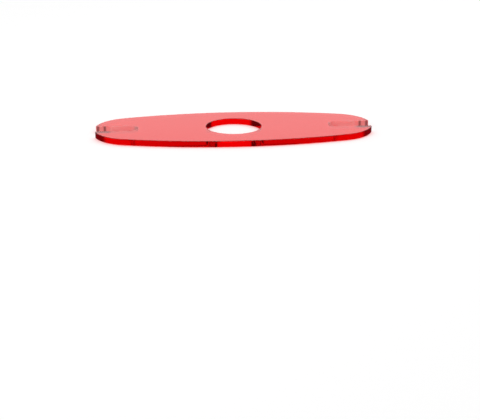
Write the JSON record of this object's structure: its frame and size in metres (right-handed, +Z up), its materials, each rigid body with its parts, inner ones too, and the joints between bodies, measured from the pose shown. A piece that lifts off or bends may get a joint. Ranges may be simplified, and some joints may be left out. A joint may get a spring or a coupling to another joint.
{
  "type": "wine bottle and glass holder",
  "caption": "Flat oval plate of clear red acrylic with a round neck hole in the middle and an open stem slot at each end.",
  "frame": {"origin": "axis of the neck hole, on the plate's underside", "axes": "+X along the plate's length, +Y across it, +Z up through its thickness, out of the top face"},
  "size_m": [0.201, 0.075, 0.0045],
  "materials": {
    "red_acrylic": "polished clear red cast acrylic sheet"
  },
  "bodies": {
    "root": {"holder_plate": "red_acrylic"}
  },
  "joints": []
}
